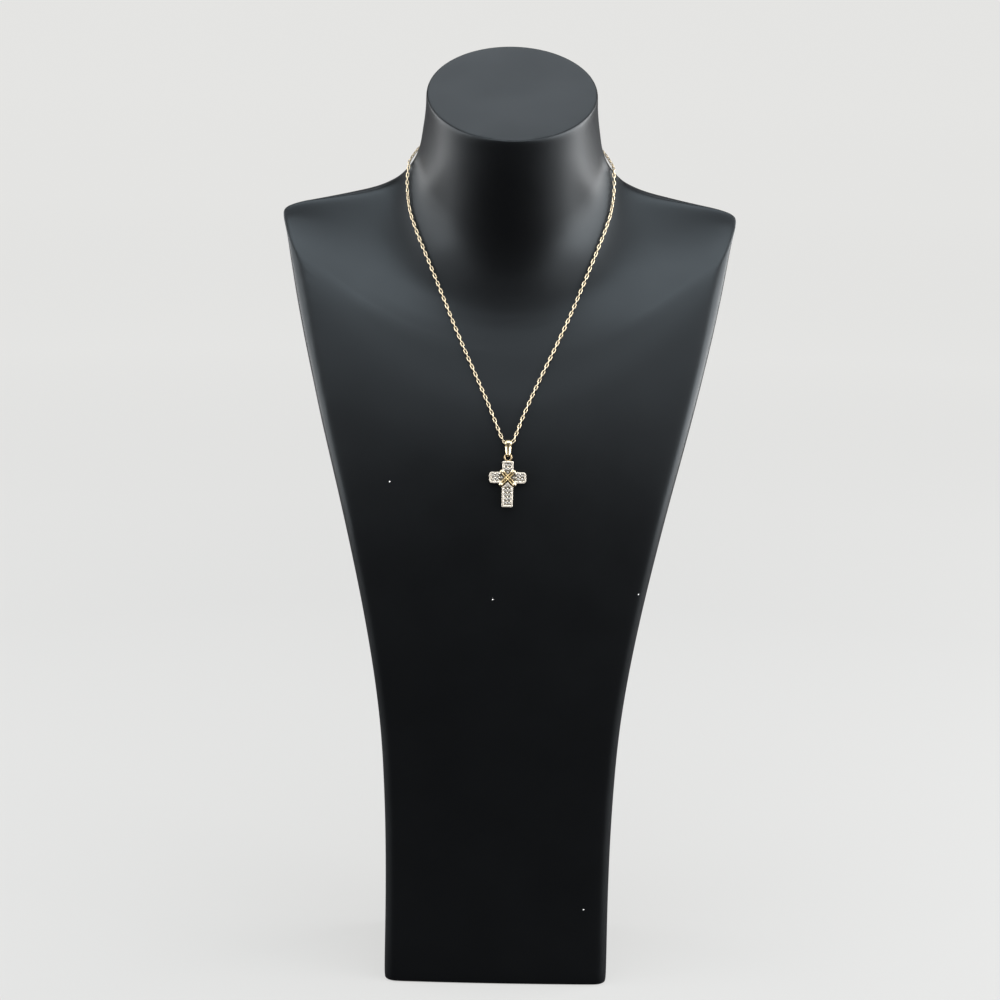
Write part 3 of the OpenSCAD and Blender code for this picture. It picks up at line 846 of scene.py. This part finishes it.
# %% The paper's glow
GLOW_REACH = 8
GLOW = [(0, 0.57), (0.086, 0.59), (0.129, 0.64), (0.23, 0.725), (0.436, 0.755), (0.75, 0.765)]
PAPER_TINT = (1.01, 1.008, 0.99)
pale = new_finish("pale_paper", (0.05, 0.05, 0.05), 0.8, ior=1.0)
pale_tree = pale.node_tree
pale_shader = pale_tree.nodes["Principled BSDF"]
pale_shader.inputs["Emission Strength"].default_value = 1
pale_place = pale_tree.nodes.new("ShaderNodeTexCoord")
pale_away = pale_tree.nodes.new("ShaderNodeVectorMath")
pale_away.operation = "LENGTH"
pale_share = pale_tree.nodes.new("ShaderNodeMath")
pale_share.operation = "DIVIDE"
pale_share.inputs[1].default_value = GLOW_REACH
pale_glow = pale_tree.nodes.new("ShaderNodeValToRGB")
while len(pale_glow.color_ramp.elements) < len(GLOW):
    pale_glow.color_ramp.elements.new(0.5)
for stop, (part_way, glow) in zip(pale_glow.color_ramp.elements, GLOW):
    stop.position = part_way
    stop.color = (*(tint * glow for tint in PAPER_TINT), 1)
pale_tree.links.new(pale_place.outputs["Object"], pale_away.inputs[0])
pale_tree.links.new(pale_away.outputs["Value"], pale_share.inputs[0])
pale_tree.links.new(pale_share.outputs["Value"], pale_glow.inputs["Fac"])
pale_tree.links.new(pale_glow.outputs["Color"], pale_shader.inputs["Emission Color"])
print("paper glows", GLOW[0][1], "at the foot and", GLOW[-1][1], "far away")

# %% [markdown]
# The bust is glossy and would mirror the paper as a grey veil, so the paper is left out of
# what the bust reflects: it mirrors the soft boxes alone, which draw the long highlights
# down its sides. The paper is part of the stage and not of the object.

# %% Lay the paper
PAPER_SIZE = 60
bpy.ops.object.select_all(action="DESELECT")
bpy.ops.mesh.primitive_plane_add(size=PAPER_SIZE, location=(0, 0, 0))
paper = bpy.context.object
paper.name = "paper"
paper.data.materials.append(pale)
paper.visible_glossy = False
paper.visible_diffuse = False
print("paper", PAPER_SIZE, "m wide")

# %% [markdown]
# A glossy dark thing is lit by what it mirrors, so the lamps are large soft boxes. Two stand
# at the sides and draw the edges, and a large one above fills the chest and the shoulders.
# Small ones behind and in front bring out the neck's slanted top and the polished gold.
# Each is given its place, the point it looks at, its width and height, and its power.


# %% Soft boxes
def soft_box(name, place, aim, wide, tall, watts, colour=(1, 1, 1)):
    """A flat lamp at a place, turned towards another."""
    light = bpy.data.lights.new(name, "AREA")
    light.color = colour
    light.shape = "RECTANGLE"
    light.size = wide
    light.size_y = tall
    light.energy = watts
    box = bpy.data.objects.new(name, light)
    box.location = place
    box.rotation_euler = (Vector(aim) - Vector(place)).to_track_quat("-Z", "Y").to_euler()
    bpy.context.scene.collection.objects.link(box)


soft_box("left_box", (-1.05, 0, 0.48), (0, 0, 0.3), 1.5, 1.1, 46)
soft_box("right_box", (1.05, 0, 0.48), (0, 0, 0.3), 1.5, 1.1, 76)
soft_box("top_box", (0, -0.9, 1.9), (0, 0, 0.25), 1.8, 1.4, 90, (0.92, 0.97, 1))
soft_box("front_box", (0, -1.16, 0.96), (0, -0.05, 0.3), 0.7, 0.6, 1.5)
soft_box("back_box", (0, 0.75, 1.5), (0, 0, 0.38), 1.0, 0.8, 7.5, (0.85, 0.935, 1))
soft_box("left_front_box", (-0.85, -0.8, 0.55), (0, 0, 0.3), 0.7, 0.9, 4.5)
soft_box("right_front_box", (0.85, -0.8, 0.55), (0, 0, 0.3), 0.7, 0.9, 8)
print(len(bpy.data.lights), "soft boxes")

# %% [markdown]
# Between the boxes the gold mirrors a dim room. The camera, though, should see pale paper
# beyond the paper's edge too, so a ray that comes straight from it gets the pale tone.

# %% The room around
ROOM_DIM = (0.15, 0.15, 0.16, 1)
ROOM_SEEN = (0.773, 0.771, 0.757, 1)
world = bpy.data.worlds.new("room")
world.use_nodes = True
bpy.context.scene.world = world
room = world.node_tree
dim = room.nodes["Background"]
dim.inputs["Color"].default_value = ROOM_DIM
seen = room.nodes.new("ShaderNodeBackground")
seen.inputs["Color"].default_value = ROOM_SEEN
by_ray = room.nodes.new("ShaderNodeMixShader")
ray = room.nodes.new("ShaderNodeLightPath")
room.links.new(ray.outputs["Is Camera Ray"], by_ray.inputs["Fac"])
room.links.new(dim.outputs["Background"], by_ray.inputs[1])
room.links.new(seen.outputs["Background"], by_ray.inputs[2])
room.links.new(by_ray.outputs["Shader"], room.nodes["World Output"].inputs["Surface"])
bpy.context.scene.view_settings.view_transform = "Standard"
print("room", ROOM_DIM[:3], "seen as", ROOM_SEEN[:3])

# %% [markdown]
# At the end the scene is brought up to date. The dressed object has to stay the size of
# the frame.

# %% Finish
bpy.context.view_layer.update()
